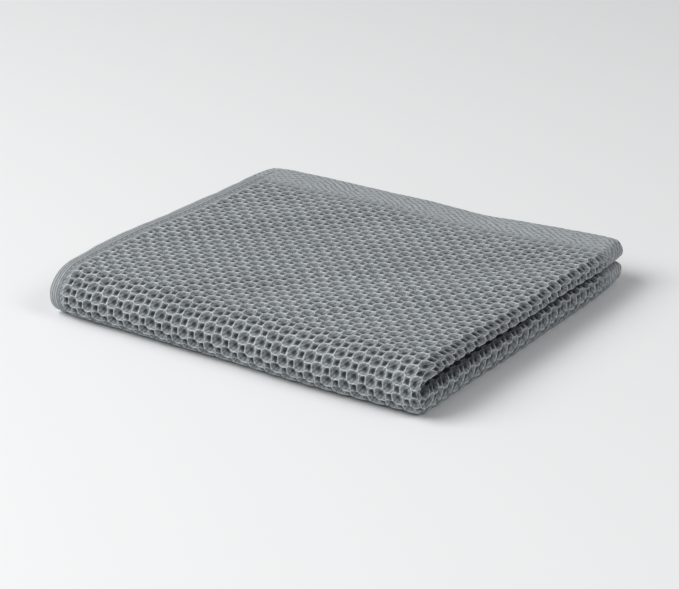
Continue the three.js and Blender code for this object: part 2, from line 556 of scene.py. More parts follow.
@dataclass(frozen=True)
class WaffleWeave:
    """The honeycomb weave: large eight-sided cells in staggered rows, with small square ones between.

    u and v count the repeats of the weave from the inner edges of the hems, on the outer face. The
    twill of the end hems has twill_turns lines to a repeat across, and twill_slope times as many along.
    """

    columns: float
    rows: float
    repeat_across: float
    repeat_along: float
    large_depth: float = 1.5 * MM
    small_depth: float = 1.35 * MM
    small_reach: float = 0.185
    corner_sharpness: float = 8
    wall_curve: float = 1.6
    wall_steepness: float = 0.8
    side_border: float = 0.55
    end_border: float = 1.5
    border_start: float = -0.1
    border_share: float = 0.2
    twill_turns: float = 2.0
    twill_slope: float = 1.4
    near_repeat: float = 6.8 * MM
    depth_ripples: tuple[Ripple, ...] = (Ripple(0.28, 1 / 1.3, 21), Ripple(0.14, 4, 22))
    drift_ripples: tuple[Ripple, ...] = (
        Ripple(0.4 * MM, 38 * MM, 11),
        Ripple(0.22 * MM, 13 * MM, 12),
        Ripple(0.22 * MM, 5 * MM, 13),
    )
    seed_step: int = 100

    @classmethod
    def between_hems(cls, form: FoldedForm, side: Hem, end: Hem) -> "WaffleWeave":
        """Fits a whole number of half repeats between the hems, each repeat near its usual size.

        Args:
            form: The folded cloth's form, which gives the flat size.
            side: The hems of the two sides.
            end: The hems of the two ends.

        Returns:
            The weave with its repeats fitted.
        """
        inside_width = 2 * (form.face_half_width - side.width)
        inside_length = 2 * (form.face_half_length - end.width)
        columns = round(2 * inside_width / cls.near_repeat) / 2
        rows = round(2 * inside_length / cls.near_repeat) / 2
        return cls(columns, rows, inside_width / columns, inside_length / rows)

    @property
    def large_reach(self) -> float:
        """From the middle of a large cell to its straight sides, beside which the small cells lie."""
        return 1 / 2 - self.small_reach

    def lines(self, repeats: float, repeat: float) -> np.ndarray:
        """Places of the fine lattice lines over the waffle, about its middle.

        Args:
            repeats: How many repeats the waffle has this way.
            repeat: Size of one repeat this way.

        Returns:
            The places, with lines on the crests and in the middles of the cells.
        """
        halves = np.arange(round(2 * repeats))
        shares = np.array((0, self.small_reach, 1 / 4, self.large_reach))
        places = (halves[:, None] / 2 + shares[None, :]).ravel()
        return (np.append(places, repeats) - repeats / 2) * repeat

    def counts(self, across: np.ndarray, along: np.ndarray) -> tuple[np.ndarray, np.ndarray]:
        """Turns places on the flat cloth into counts of repeats."""
        return across / self.repeat_across + self.columns / 2, along / self.repeat_along + self.rows / 2

    def drift(self, across: np.ndarray, along: np.ndarray) -> tuple[np.ndarray, np.ndarray]:
        """Lets the rows of cells wander a little, as woven and washed cloth does.

        Args:
            across: Places across the cloth.
            along: Places along it.

        Returns:
            The places after their drift.
        """
        moved_across, moved_along = across.copy(), along.copy()
        for ripple in self.drift_ripples:
            moved_across += ripple.over(across, along)
            moved_along += ripple.over(across, along, self.seed_step)
        return moved_across, moved_along

    def depth(self, across: np.ndarray, along: np.ndarray) -> np.ndarray:
        """Depth of the cells below the ridges.

        Args:
            across: Places across the cloth.
            along: Places along it.

        Returns:
            Depths, which are 0 on the ridges and outside the waffle.
        """
        u, v = self.counts(across, along)
        total, difference = u + v, u - v
        large_a, large_b = total - np.rint(total), difference - np.rint(difference)
        x, y = np.abs(large_a + large_b) / 2, np.abs(large_a - large_b) / 2
        sharpness = self.corner_sharpness
        sides = (x / self.large_reach) ** sharpness + (y / self.large_reach) ** sharpness
        radius = (sides + (2 * (x + y)) ** sharpness) ** (1 / sharpness)
        large = self.large_depth * self._bowl(radius)

        small_a, small_b = total - np.floor(total) - 0.5, difference - np.floor(difference) - 0.5
        square = np.maximum(np.abs(small_a + small_b), np.abs(small_a - small_b)) / 2
        small = self.small_depth * self._bowl(square / self.small_reach)

        uneven = np.ones_like(u)
        for ripple in self.depth_ripples:
            uneven += ripple.over(u, v)
        return (large + small) * uneven * self._kept(u, v)

    def _kept(self, u: np.ndarray, v: np.ndarray) -> np.ndarray:
        """Lets the cells grow shallow towards the hems.

        Args:
            u: Repeats across the cloth.
            v: Repeats along it.

        Returns:
            The share of its depth that a cell keeps, which is 0 outside the waffle.
        """
        from_side, from_end = np.minimum(u, self.columns - u), np.minimum(v, self.rows - v)
        border = smoothstep(from_side, self.border_start, self.side_border)
        border *= smoothstep(from_end, self.border_start, self.end_border)
        inside = np.minimum(from_side, from_end) > 0
        return np.where(inside, self.border_share + (1 - self.border_share) * border, 0)

    def _bowl(self, radius: np.ndarray) -> np.ndarray:
        """Shares of a cell's depth, from 1 at its middle to 0 on the ridge round it at radius 1."""
        return (1 - np.clip(radius, 0, 1) ** self.wall_curve) ** self.wall_steepness


@dataclass(frozen=True)
class Island:
    """A part of the cloth's bake map: the box that it fills, by its lower left corner and its size."""

    left: float
    bottom: float
    width: float
    height: float

    def spread(self, share_across: np.ndarray, share_along: np.ndarray) -> np.ndarray:
        """Lays shares of the way across and along the part out over its box."""
        return np.column_stack(
            (self.left + share_across * self.width, self.bottom + share_along * self.height)
        )


@dataclass
class FoldedCloth:
    """The whole cloth with its hems, as one closed sheet.

    Places across and along the cloth are measured from its folds over its outer face.
    """

    form: FoldedForm
    side_hem: Hem
    end_hem: Hem
    weave: WaffleWeave
    slit_depth: float = 13 * MM
    corner_round: float = 4.0 * MM
    merge_distance: float = 0.01
    twill_depth: float = 0.06 * MM
    twill_ease: float = 2 * MM
    front_island: Island = Island(0.0, 0.0, 0.76, 1.0)
    hidden_island: Island = Island(0.775, 0.57, 0.225, 0.43)
    inner_island: Island = Island(0.775, 0.0, 0.225, 0.555)
    across_lines: np.ndarray = field(init=False)
    along_lines: np.ndarray = field(init=False)
    slit_column: int = field(init=False)
    shift: np.ndarray = field(init=False)

    def __post_init__(self) -> None:
        """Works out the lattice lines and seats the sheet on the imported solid's place."""
        self.across_lines = self._lattice(self.side_hem, self.weave.columns, self.weave.repeat_across)
        self.along_lines = self._lattice(self.end_hem, self.weave.rows, self.weave.repeat_along)
        self.slit_column = math.floor(
            np.interp(self.slit_depth, self.across_lines, self._counts(self.across_lines))
        )
        across, along = np.meshgrid(self.across_lines, self.along_lines)
        across, along = across.ravel(), along.ravel()
        half = self.half_thickness(across, along)
        points = np.concatenate([self._fold(across, along, half * face.value) for face in Face])
        low, high = (np.array(corner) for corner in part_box(CLOTH_NODE))
        self.shift = (low + high) / 2 - (points.min(0) + points.max(0)) / 2
        self.shift[2] = low[2] - points[:, 2].min()

    def _lattice(self, hem: Hem, repeats: float, repeat: float) -> np.ndarray:
        """Fine lattice lines from one edge of the cloth to the other.

        Args:
            hem: The hem at both edges.
            repeats: Repeats of the waffle between the hems.
            repeat: Size of one repeat.

        Returns:
            The places of the lines, with a few of them to each cell of the slab.
        """
        inside = self.weave.lines(repeats, repeat)
        edge = inside[-1] + hem.width
        rim = edge - hem.distances()
        return np.concatenate((-rim, inside[1:-1], rim[::-1]))

    @staticmethod
    def _counts(lines: np.ndarray) -> np.ndarray:
        """Where each lattice line lies on the slab, which is counted in cells."""
        return np.arange(len(lines)) / CELL_LINES

    @property
    def cells(self) -> tuple[int, int]:
        """Cells of the slab across and along the cloth."""
        return (len(self.across_lines) - 1) // CELL_LINES, (len(self.along_lines) - 1) // CELL_LINES

    def half_thickness(self, across: np.ndarray, along: np.ndarray) -> np.ndarray:
        """Half of the cloth's thickness at each place on it.

        Args:
            across: Places across the cloth.
            along: Places along it.

        Returns:
            The half thicknesses, with no relief taken off.
        """
        from_side = self.form.face_half_width - np.abs(across)
        from_end = self.form.face_half_length - np.abs(along)
        side = self.side_hem.thickness_at(from_side, self.form.thickness)
        end = self.end_hem.thickness_at(from_end, self.form.thickness)
        return np.minimum(side, end) / 2

    def relief(self, across: np.ndarray, along: np.ndarray) -> np.ndarray:
        """How far the outer face lies below its highest at each place.

        Args:
            across: Places across the cloth.
            along: Places along it.

        Returns:
            Depths of the waffle's cells, the pressed lines by the rims and the twill of the end hems.
        """
        from_side = self.form.face_half_width - np.abs(across)
        from_end = self.form.face_half_length - np.abs(along)
        u, v = self.weave.counts(across, along)
        turns = self.weave.twill_turns * (u + self.weave.twill_slope * v)
        stripes = (1 - np.cos(2 * math.pi * turns)) / 2
        on_end = 1 - smoothstep(from_end, self.end_hem.width - self.twill_ease, self.end_hem.width)
        creases = np.maximum(self.side_hem.crease(from_side), self.end_hem.crease(from_end))
        return self.weave.depth(across, along) + creases + self.twill_depth * stripes * on_end

    def rounded(self, across: np.ndarray, along: np.ndarray) -> tuple[np.ndarray, np.ndarray]:
        """Rounds the four corners of the flat cloth.

        Args:
            across: Places across the cloth.
            along: Places along it.

        Returns:
            The places with those near a corner drawn in to its round.
        """
        reach_across = self.across_lines[-1] - self.corner_round
        reach_along = self.along_lines[-1] - self.corner_round
        past_across = np.maximum(np.abs(across) - reach_across, 0) / self.corner_round
        past_along = np.maximum(np.abs(along) - reach_along, 0) / self.corner_round
        cut_across = past_across * (1 - np.sqrt(1 - past_along**2 / 2)) * self.corner_round
        cut_along = past_along * (1 - np.sqrt(1 - past_across**2 / 2)) * self.corner_round
        return across - np.sign(across) * cut_across, along - np.sign(along) * cut_along

    def carry(self, across: np.ndarray, along: np.ndarray, through: np.ndarray) -> np.ndarray:
        """Carries places on the finished flat cloth into the folds, at their place in the frame.

        Args:
            across: Places across the cloth.
            along: Places along it.
            through: Heights off the middle of the cloth.

        Returns:
            One row of X, Y and Z for each place.
        """
        across, along = self.weave.drift(*self.rounded(across, along))
        return self._fold(across, along, through) + self.shift

    def _fold(self, across: np.ndarray, along: np.ndarray, through: np.ndarray) -> np.ndarray:
        """Folds places that are measured on the outer face."""
        across = self.form.middle_place(across, self.form.spine_arc)
        return self.form.place(across, self.form.middle_place(along, self.form.outer_arc), through)

    def _slab(self) -> bmesh.types.BMesh:
        """Makes the flat cloth as a closed slab on a lattice, one unit to each cell.

        Returns:
            A mesh whose X and Y count the cells, and whose Z says which face a point is on.
        """
        columns, rows = self.cells
        slab = bmesh.new()
        for face in Face:
            at = Matrix.Translation((columns / 2, rows / 2, face.value))
            size = Matrix.Diagonal((columns, rows, 1, 1))
            grid = bmesh.ops.create_grid(
                slab, x_segments=columns, y_segments=rows, size=UNIT_RADIUS, matrix=at @ size
            )
            if face is Face.INNER:
                inner = {f for v in grid["verts"] for f in v.link_faces}
                bmesh.ops.reverse_faces(slab, faces=list(inner))
        rim = [v for v in slab.verts if v.is_boundary]
        for vertex in rim:
            vertex.co.z = 0
        bmesh.ops.remove_doubles(slab, verts=rim, dist=self.merge_distance)
        self._refine(slab, lambda centre: self._on_show(centre) or self._on_hem(centre))
        self._refine(slab, self._on_show)
        return slab

    def _on_show(self, centre: Vector) -> bool:
        """Whether a slab face with this centre is on the part of the outer face that shows."""
        return centre.z > 0 and centre.x < self.slit_column

    def _on_hem(self, centre: Vector) -> bool:
        """Finds the parts of the slab that are hems.

        Args:
            centre: The centre of one of the slab's faces.

        Returns:
            Whether it is on a side hem or an end hem, on either face of the cloth.
        """
        columns, rows = self.cells
        on_side = min(centre.x, columns - centre.x) < self.side_hem.steps // CELL_LINES
        return on_side or min(centre.y, rows - centre.y) < self.end_hem.steps // CELL_LINES

    @staticmethod
    def _refine(slab: bmesh.types.BMesh, wanted: Callable[[Vector], bool]) -> None:
        """Halves the lattice where it is wanted.

        Args:
            slab: The flat slab.
            wanted: Says of a face's centre whether the face is divided.
        """
        faces = [f for f in slab.faces if wanted(f.calc_center_median())]
        edges = {e for f in faces for e in f.edges}
        bmesh.ops.subdivide_edges(slab, edges=list(edges), cuts=1, use_grid_fill=True)

    def _lay_maps(self, mesh: bpy.types.Mesh, across: np.ndarray, along: np.ndarray) -> None:
        """Gives the cloth its map for bakes and its map in repeats of the weave.

        Args:
            mesh: The cloth's mesh, still flat on its lattice.
            across: Places of its points across the cloth.
            along: Their places along it.
        """
        corners = np.zeros(len(mesh.loops), np.int32)
        mesh.loops.foreach_get("vertex_index", corners)
        centres = np.zeros(len(mesh.polygons) * 3, np.float32)
        mesh.polygons.foreach_get("center", centres)
        sizes = np.zeros(len(mesh.polygons), np.int32)
        mesh.polygons.foreach_get("loop_total", sizes)
        centres = np.repeat(centres.reshape(-1, 3), sizes, axis=0)

        edge = self.across_lines[CELL_LINES * self.slit_column]
        along_share = (along[corners] / self.along_lines[-1] + 1) / 2
        outer_share = (across[corners] - self.across_lines[0]) / (edge - self.across_lines[0])
        rest_share = (across[corners] - edge) / (self.across_lines[-1] - edge)
        whole_share = (across[corners] / self.across_lines[-1] + 1) / 2
        on_outer = (centres[:, 2] > 0)[:, None]
        shown = (centres[:, 0] < self.slit_column)[:, None]
        outer = np.where(
            shown,
            self.front_island.spread(outer_share, along_share),
            self.hidden_island.spread(rest_share, along_share),
        )
        bake = np.where(on_outer, outer, self.inner_island.spread(1 - whole_share, along_share))
        weave = np.column_stack(self.weave.counts(across, along))[corners]
        for name, places in ((WEAVE_MAP, weave), (BAKE_MAP, bake)):
            layer = mesh.uv_layers.new(name=name)
            layer.uv.foreach_set("vector", places.astype(np.float32).ravel())

    def build(self, finish: "ClothFinish") -> bpy.types.Object:
        """Makes the cloth, folds it and gives it its finish.

        Args:
            finish: The finish of the cotton.

        Returns:
            The cloth's object.
        """
        mesh = finished_mesh("waffle_cloth", self._slab())
        lattice = mesh_points(mesh)
        across = np.interp(lattice[:, 0], self._counts(self.across_lines), self.across_lines)
        along = np.interp(lattice[:, 1], self._counts(self.along_lines), self.along_lines)
        self._lay_maps(mesh, across, along)

        side = np.sign(lattice[:, 2])
        half = self.half_thickness(across, along)
        depth = np.where(side > 0, np.minimum(self.relief(across, along), half), 0)
        move_points(mesh, self.carry(across, along, side * (half - depth)))
        mesh.shade_smooth()
        mesh.update()
        mesh.materials.append(finish.material(self.weave))
        return in_scene(mesh)


@dataclass
class HemStitches:
    """The rows of lockstitch that hold the hems down, on both faces of the cloth."""

    cloth: FoldedCloth
    pitch: float = 2.8 * MM
    stitch_length: float = 2.5 * MM
    thread: float = 0.42 * MM
    seam_inset: float = 0.9 * MM
    rise: float = 0.02 * MM
    segments: int = 6
    rings: int = 4

    def _straight_row(self, half_row: float) -> bpy.types.Mesh:
        """Makes one row of stitches, still straight, along X about its middle.

        The sphere makes its faces in no fixed order, so they are sorted by the points that they join.

        Args:
            half_row: Half of the row's length.

        Returns:
            The row's mesh.
        """
        count = int(2 * half_row / self.pitch)
        first = -self.pitch * (count - 1) / 2
        size = Matrix.Diagonal((self.stitch_length, self.thread, self.thread, 1))
        row = bmesh.new()
        bmesh.ops.create_uvsphere(
            row,
            u_segments=self.segments,
            v_segments=self.rings,
            radius=UNIT_RADIUS,
            matrix=Matrix.Translation((first, 0, 0)) @ size,
        )
        row.verts.index_update()
        row.faces.sort(key=lambda face: sum(1 << vertex.index for vertex in face.verts))
        bmesh.ops.spin(
            row,
            geom=list(row.verts) + list(row.edges) + list(row.faces),
            angle=0,
            axis=(0, 0, 1),
            cent=(0, 0, 0),
            dvec=(self.pitch, 0, 0),
            steps=count - 1,
            use_duplicate=True,
        )
        return finished_mesh("row of stitches", row)

    def _row(self, face: Face, runs_along: bool, place: float, half_row: float) -> bpy.types.Mesh:
        """Makes one row of stitches on one face and carries it into the folds.

        Args:
            face: The face of the cloth that the row is on.
            runs_along: Whether the row runs along the cloth, or across it.
            place: Where it lies, across or along the cloth.
            half_row: Half of its length.

        Returns:
            The row's mesh.
        """
        mesh = self._straight_row(half_row)
        step, aside, rise = mesh_points(mesh).T
        across, along = (place - aside, step) if runs_along else (step, place + aside)
        on_row = np.full_like(step, place)
        half = self.cloth.half_thickness(*((on_row, step) if runs_along else (step, on_row)))
        points = self.cloth.carry(across, along, face.value * (half + self.rise) + rise)
        move_points(mesh, points)
        return mesh

    def build(self, finish: "ThreadFinish") -> bpy.types.Object:
        """Makes all the rows as one mesh.

        Args:
            finish: The finish of the thread.

        Returns:
            The object of the stitches.
        """
        form = self.cloth.form
        side_place = form.face_half_width - self.cloth.side_hem.width + self.seam_inset
        end_place = form.face_half_length - self.cloth.end_hem.width + self.seam_inset
        stitches = bmesh.new()
        for face in Face:
            for sign in (-1, 1):
                rows = (
                    self._row(face, True, sign * side_place, form.half_length - self.pitch),
                    self._row(face, False, sign * end_place, side_place),
                )
                for row in rows:
                    stitches.from_mesh(row)
                    bpy.data.meshes.remove(row)
        mesh = finished_mesh("hem_stitches", stitches)
        mesh.shade_smooth()
        mesh.materials.append(finish.material())
        return in_scene(mesh)


Output = bpy.types.NodeSocket
Feed = Output | float | tuple


class Sum(Enum):
    """The sums that a Math node works out here."""

    ADD = "ADD"
    SUBTRACT = "SUBTRACT"
    MULTIPLY = "MULTIPLY"
    DIVIDE = "DIVIDE"
    LARGER = "MAXIMUM"
    SMALLER = "MINIMUM"
    SIZE = "ABSOLUTE"
    NEAREST = "ROUND"
    FRACTION = "FRACT"
    SINE = "SINE"
    ROOT = "SQRT"


class Laying(Enum):
    """How one colour is laid on another."""

    OVER = "MIX"
    TIMES = "MULTIPLY"


class NodeBench:
    """Places shader nodes in one tree, so that a pattern reads as the sum that it is."""

    def __init__(self, tree: bpy.types.NodeTree) -> None:
        """Takes the tree in which the nodes are placed."""
        self.tree = tree

    def node(self, kind: str, **settings: object) -> bpy.types.Node:
        """Adds a node.

        Args:
            kind: The kind of node.
            settings: Its settings, by their names.

        Returns:
            The new node.
        """
        node = self.tree.nodes.new(kind)
        for name, value in settings.items():
            setattr(node, name, value)
        return node

    def feed(self, socket: bpy.types.NodeSocket, value: Feed) -> None:
        """Links a socket to another one, or sets its own value.

        Args:
            socket: The socket that is fed.
            value: An output to link it to, or a plain value.
        """
        if isinstance(value, Output):
            self.tree.links.new(value, socket)
        else:
            socket.default_value = value

    def work(self, operation: Sum, *values: Feed) -> Output:
        """Works out one sum.

        Args:
            operation: Which sum it is.
            values: Its one or two values.

        Returns:
            The output that holds the result.
        """
        node = self.node("ShaderNodeMath", operation=operation.value)
        for socket, value in zip(node.inputs, values):
            self.feed(socket, value)
        return node.outputs[0]

    def ease(self, value: Feed, low: Feed, high: Feed, start: Feed = 0, end: Feed = 1) -> Output:
        """Eases a value smoothly from start at low to end at high.

        Args:
            value: The value to ease.
            low: Where the ease starts.
            high: Where it ends.
            start: The result up to low.
            end: The result from high on.

        Returns:
            The output that holds the eased value.
        """
        node = self.node("ShaderNodeMapRange", interpolation_type="SMOOTHSTEP")
        for socket, given in zip(node.inputs, (value, low, high, start, end)):
            self.feed(socket, given)
        return node.outputs[0]

    def blend(self, share: Feed, first: Feed, second: Feed) -> Output:
        """Blends two values.

        Args:
            share: How much of the second value applies, from 0 to 1.
            first: The first value.
            second: The second value.

        Returns:
            The output that holds the blended value.
        """
        node = self.node("ShaderNodeMix", data_type="FLOAT")
        values = [socket for socket in node.inputs if socket.type == "VALUE"]
        for socket, value in zip(values, (share, first, second)):
            self.feed(socket, value)
        return node.outputs[0]

    def tint(self, share: Feed, first: Feed, second: Feed, laying: Laying = Laying.OVER) -> Output:
        """Blends two colours.

        Args:
            share: How much of the second colour applies.
            first: The first colour.
            second: The second colour.
            laying: How the second one is laid on the first.

        Returns:
            The output that holds the colour.
        """
        node = self.node("ShaderNodeMix", data_type="RGBA", blend_type=laying.value)
        self.feed(node.inputs["Factor"], share)
        colours = [socket for socket in node.inputs if socket.type == "RGBA"]
        self.feed(colours[0], first)
        self.feed(colours[1], second)
        return next(socket for socket in node.outputs if socket.type == "RGBA")

    def noise(self, place: Feed, size: float, detail: float = 2.0) -> Output:
        """Noise from 0 to 1, whose hills are about a size apart.

        Args:
            place: The coordinates that it follows.
            size: Size of one hill or hollow, in the coordinates' unit.
            detail: How many finer layers of noise it has.

        Returns:
            The output that holds the noise.
        """
        node = self.node("ShaderNodeTexNoise")
        self.feed(node.inputs["Vector"], place)
        self.feed(node.inputs["Scale"], 1 / size)
        self.feed(node.inputs["Detail"], detail)
        return node.outputs[0]

    def bump(self, height: Feed, distance: float) -> Output:
        """Gives a surface a fine relief.

        Args:
            height: Heights of the relief.
            distance: How far a height of 1 stands out.

        Returns:
            The output that holds the normals.
        """
        node = self.node("ShaderNodeBump")
        self.feed(node.inputs["Height"], height)
        self.feed(node.inputs["Distance"], distance)
        return node.outputs[0]


@dataclass(frozen=True)
class Effect:
    """A shader effect kept as a node group, which is built once and placed in each material."""

    name: str
    inputs: dict[str, Socket]
    outputs: dict[str, Socket]

    def fill(self, bench: NodeBench, given: bpy.types.Node, result: bpy.types.Node) -> None:
        """Places the effect's own nodes.

        Args:
            bench: The group's bench.
            given: The node that gives the group's inputs.
            result: The node that takes its outputs.
        """
        raise NotImplementedError

    def group(self) -> bpy.types.NodeTree:
        """Finds the effect's node group, or makes it the first time.

        Returns:
            The group's tree.
        """
        tree = bpy.data.node_groups.get(self.name)
        if tree is None:
            tree = bpy.data.node_groups.new(self.name, "ShaderNodeTree")
            for way, sockets in (("INPUT", self.inputs), ("OUTPUT", self.outputs)):
                for name, kind in sockets.items():
                    tree.interface.new_socket(name=name, in_out=way, socket_type=kind.value)
            bench = NodeBench(tree)
            self.fill(bench, bench.node("NodeGroupInput"), bench.node("NodeGroupOutput"))
        return tree

    def put(self, bench: NodeBench, **values: Feed) -> bpy.types.Node:
        """Places the effect in a material.

        Args:
            bench: The material's bench.
            values: What feeds the effect's inputs, by their names in lower case.

        Returns:
            The group's node, with the effect's outputs.
        """
        node = bench.node("ShaderNodeGroup", node_tree=self.group())
        for name, value in values.items():
            bench.feed(node.inputs[name.capitalize()], value)
        return node


@dataclass(frozen=True)
class FibreEffect(Effect):
    """Cotton fibres: the uneven tone of the dyed yarn, and its fuzz."""

    name: str = "cotton fibres"
    inputs: dict[str, Socket] = field(default_factory=lambda: {"Place": Socket.VECTOR})
    outputs: dict[str, Socket] = field(
        default_factory=lambda: {"Tone": Socket.VALUE, "Fuzz": Socket.VALUE}
    )
    patch_size: float = 34 * MM
    fleck_size: float = 1.2 * MM
    fuzz_size: float = 0.45 * MM
    fine_detail: float = 3
    fleck_share: float = 0.75

    def fill(self, bench: NodeBench, given: bpy.types.Node, result: bpy.types.Node) -> None:
        """Blends broad patches with fine flecks, and makes a finer noise of the fuzz.

        Args:
            bench: The group's bench.
            given: The node that gives the place.
            result: The node that takes the tone and the fuzz.
        """
        place = given.outputs["Place"]
        patches = bench.noise(place, self.patch_size)
        flecks = bench.noise(place, self.fleck_size, self.fine_detail)
        bench.feed(result.inputs["Tone"], bench.blend(self.fleck_share, patches, flecks))
        bench.feed(result.inputs["Fuzz"], bench.noise(place, self.fuzz_size, self.fine_detail))


@dataclass(frozen=True)
class WeaveEffect(Effect):
    """The weave's pattern in its own repeats: the cells, the yarns over them and the hems, with masks
    for the painted highlight on the ridges, the painted shade in the middles of the cells and the
    painted shade in the slit.
    """

    name: str = "waffle weave"
    inputs: dict[str, Socket] = field(
        default_factory=lambda: {
            "Place": Socket.VECTOR,
            "Columns": Socket.VALUE,
            "Rows": Socket.VALUE,
            "Reach": Socket.VALUE,
        }
    )
    outputs: dict[str, Socket] = field(
        default_factory=lambda: {
            "Crest": Socket.VALUE,
            "Cell shade": Socket.VALUE,
            "Yarn": Socket.VALUE,
            "Hem": Socket.VALUE,
            "Slit shade": Socket.VALUE,
        }
    )
    yarns: int = 9
    weft_turn: tuple[float, float] = (-0.05, 0.05)
    hatch_turns: int = 4
    hatch_share: float = 0.75
    hem_ribs: int = 6
    twill_turns: float = WaffleWeave.twill_turns
    twill_slope: float = WaffleWeave.twill_slope
    yarn_wander: float = 0.05
    hem_wander: float = 0.7
    wander_size: float = 0.7
    counter_share: tuple[float, float] = (0.25, 0.6)
    patch_size: float = 2.5
    patch_edge: tuple[float, float] = (0.4, 0.6)
    # Where the painted shade of the slit starts and where it is full, in repeats past the first fold.
    painted_slit_shade: tuple[float, float] = (0.3, 0.8)
    ridge_from: float = 0.84
    slant: float = 1.97
    large_shade_ramp: tuple[float, float] = (0.2, 0.76)
    small_shade_ramp: tuple[float, float] = (0.44, 1.02)
    hem_edge: tuple[float, float] = (-0.03, 0.04)
    side_border: tuple[float, float] = (-0.05, 0.35)
    end_border: tuple[float, float] = (-0.9, 1.8)

    @staticmethod
    def _lines(bench: NodeBench, place: Feed, count: float) -> Output:
        """Rounded lines side by side, a count of them to each repeat."""
        turned = bench.work(Sum.MULTIPLY, place, math.pi * count)
        return bench.work(Sum.SIZE, bench.work(Sum.SINE, turned))

    @staticmethod
    def _length(bench: NodeBench, x: Feed, y: Feed) -> Output:
        """Distance of a place from the middle that x and y are measured from."""
        squares = (bench.work(Sum.MULTIPLY, way, way) for way in (x, y))
        return bench.work(Sum.ROOT, bench.work(Sum.ADD, *squares))

    @staticmethod
    def _inside(bench: NodeBench, place: Feed, most: Feed, border: tuple[float, float]) -> Output:
        """Eases from 0 to 1 over a border, given by its two distances inwards from 0 and the most."""
        left = bench.work(Sum.SUBTRACT, most, place)
        return bench.ease(bench.work(Sum.SMALLER, place, left), *border)

    def _outside(self, bench: NodeBench, place: Feed, most: Feed) -> Output:
        """Finds the hems of one kind.

        Args:
            bench: The group's bench.
            place: Places across or along the cloth.
            most: Where the waffle ends that way.

        Returns:
            The output that is 1 where a place lies below 0 or past the most, and 0 between them.
        """
        below = bench.work(Sum.MULTIPLY, place, -1.0)
        past = bench.work(Sum.SUBTRACT, place, most)
        return bench.ease(bench.work(Sum.LARGER, below, past), *self.hem_edge)

    @staticmethod
    def _from_middle(bench: NodeBench, first: Feed, second: Feed) -> tuple[Output, Output]:
        """Turns distances along the two diagonals into distances across and along.

        Args:
            bench: The group's bench.
            first: Distance from a cell's middle along the first diagonal.
            second: The same along the second one.

        Returns:
            The outputs that hold the distances across and along, both without their sign.
        """
        across = bench.work(Sum.SIZE, bench.work(Sum.ADD, first, second))
        along = bench.work(Sum.SIZE, bench.work(Sum.SUBTRACT, first, second))
        return bench.work(Sum.MULTIPLY, across, 0.5), bench.work(Sum.MULTIPLY, along, 0.5)

    def _cells(
        self, bench: NodeBench, large: tuple[Feed, Feed], small: tuple[Feed, Feed], reach: Feed
    ) -> tuple[Output, Output]:
        """Works out the ridges, on which a highlight is painted, and the middles of the cells, where
        shade is painted.

        Args:
            bench: The group's bench.
            large: Distances across and along from the nearest middle of a large cell.
            small: The same from the nearest middle of a small cell.
            reach: From the middle of a small cell to its sides.

        Returns:
            The outputs that are 1 on the crest of a ridge, and 1 in the middle of a cell, where the
            painted shade is darkest.
        """
        large_reach = bench.work(Sum.SUBTRACT, 0.5, reach)
        straight = bench.work(Sum.DIVIDE, bench.work(Sum.LARGER, *large), large_reach)
        slanted = bench.work(Sum.MULTIPLY, bench.work(Sum.ADD, *large), self.slant)
        in_large = bench.work(Sum.LARGER, straight, slanted)
        in_small = bench.work(Sum.DIVIDE, bench.work(Sum.LARGER, *small), reach)
        # The crests of the ridges, which get a painted highlight and a raised bump.
        crest = bench.ease(bench.work(Sum.SMALLER, in_large, in_small), self.ridge_from, 1)

        large_round = bench.work(Sum.DIVIDE, self._length(bench, *large), large_reach)
        small_round = bench.work(Sum.DIVIDE, self._length(bench, *small), reach)
        # Painted shade: each cell darkens towards its middle.
        large_shade = bench.ease(large_round, *self.large_shade_ramp, 1, 0)
        small_shade = bench.ease(small_round, *self.small_shade_ramp, 1, 0)
        return crest, bench.work(Sum.LARGER, large_shade, small_shade)

    def _yarns(
        self, bench: NodeBench, place: Feed, u: Feed, v: Feed, from_middle: tuple[Feed, Feed]
    ) -> tuple[Output, Output]:
        """Works out the yarns, which wander a little.

        Args:
            bench: The group's bench.
            place: The place on the cloth.
            u: The same place across the cloth.
            v: The same place along it.
            from_middle: Distances across and along from the nearest middle of a large cell.

        Returns:
            The outputs that hold the yarns of the waffle and the ribs of the side hems.
        """
        sway = bench.work(Sum.MULTIPLY, bench.noise(place, self.wander_size), self.yarn_wander)
        swayed = bench.work(Sum.ADD, u, sway)
        warp = self._lines(bench, swayed, self.yarns)
        weft = self._lines(bench, bench.work(Sum.SUBTRACT, v, sway), self.yarns)
        x, y = from_middle
        weft_over = bench.ease(bench.work(Sum.SUBTRACT, y, x), *self.weft_turn)
        slanting = bench.work(Sum.ADD, bench.work(Sum.SUBTRACT, u, v), sway)
        hatch = self._lines(bench, slanting, self.hatch_turns)
        waffle = bench.blend(self.hatch_share, bench.blend(weft_over, warp, weft), hatch)
        return waffle, self._lines(bench, swayed, self.hem_ribs)

    def _twill(self, bench: NodeBench, place: Feed, u: Feed, v: Feed) -> Output:
        """Works out the twill of the end hems, which leans the other way in patches.

        Args:
            bench: The group's bench.
            place: The place on the cloth.
            u: The same place across the cloth.
            v: The same place along it.

        Returns:
            The output that holds the twill's lines.
        """
        wander = bench.noise(place, self.wander_size)
        loose = bench.work(Sum.MULTIPLY, wander, self.hem_wander)
        steep = bench.work(Sum.MULTIPLY, v, self.twill_slope)
        rising = bench.work(Sum.ADD, bench.work(Sum.ADD, u, steep), loose)
        falling = bench.work(Sum.ADD, bench.work(Sum.SUBTRACT, u, steep), loose)
        twill = self._lines(bench, rising, self.twill_turns)
        counter = self._lines(bench, falling, self.twill_turns)
        patches = bench.noise(place, self.patch_size)
        share = bench.ease(patches, *self.patch_edge, *self.counter_share)
        return bench.blend(share, twill, counter)

